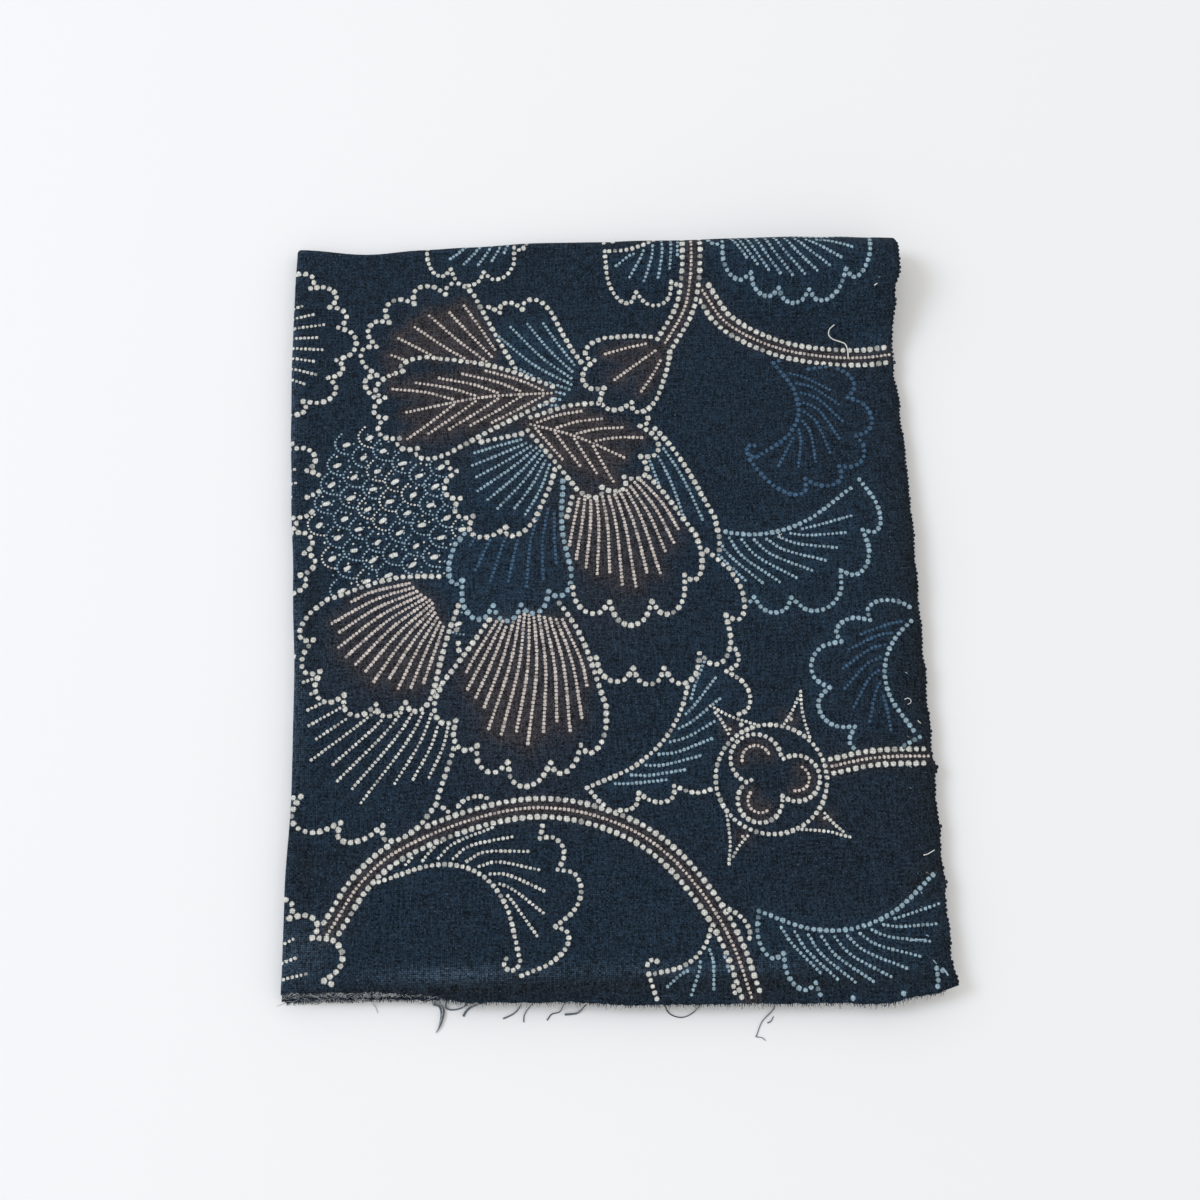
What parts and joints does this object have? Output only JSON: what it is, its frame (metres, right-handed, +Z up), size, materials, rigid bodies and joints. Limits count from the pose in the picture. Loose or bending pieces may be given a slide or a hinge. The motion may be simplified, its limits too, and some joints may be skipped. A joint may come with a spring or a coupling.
{
  "type": "folded katazome cloth",
  "caption": "Dyed cotton cloth folded over in both directions and laid flat, with selvedges along one side, raw ends at the front and an end fold that stands up as a soft loop.",
  "frame": {"origin": "centre of the footprint of the folded cloth, on the surface that it lies on", "axes": "+Y from the raw cut ends to the end fold, +X from the side fold to the selvedges, +Z up through the layers"},
  "size_m": [0.1719, 0.2158, 0.0143],
  "materials": {
    "cloth": "matt hand-woven cotton, indigo dyed with undyed resist dots"
  },
  "bodies": {
    "root": {"cloth": "cloth"}
  },
  "joints": []
}
